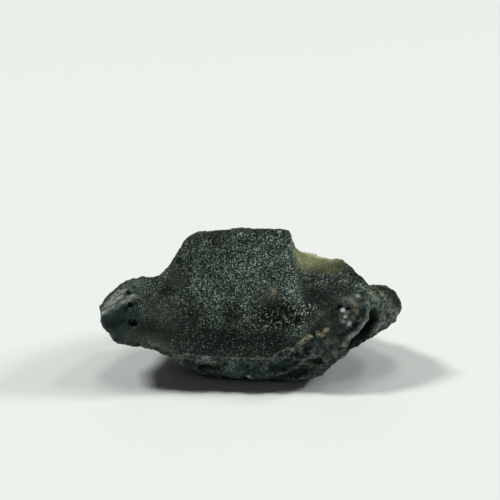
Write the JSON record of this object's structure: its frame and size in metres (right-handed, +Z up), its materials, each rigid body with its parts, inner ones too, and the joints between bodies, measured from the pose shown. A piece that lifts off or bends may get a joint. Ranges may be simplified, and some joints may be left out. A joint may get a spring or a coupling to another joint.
{
  "type": "tektite",
  "caption": "Broken boat-shaped piece of natural black glass, dished on one side below a square block, with a lumpy old skin outside and a small flat keel to rest on.",
  "frame": {"origin": "on the ground plane, in the flat keel, under the middle of the stone's box", "axes": "+X along the stone's length, to the right for someone who faces the dished side; +Y away from that viewer, towards the rounded back; +Z up, as the stone rests on its keel"},
  "size_m": [0.0454, 0.0236, 0.021],
  "materials": {
    "black_glass": "matte"
  },
  "bodies": {
    "root": {"tektite": "black_glass"}
  },
  "joints": []
}
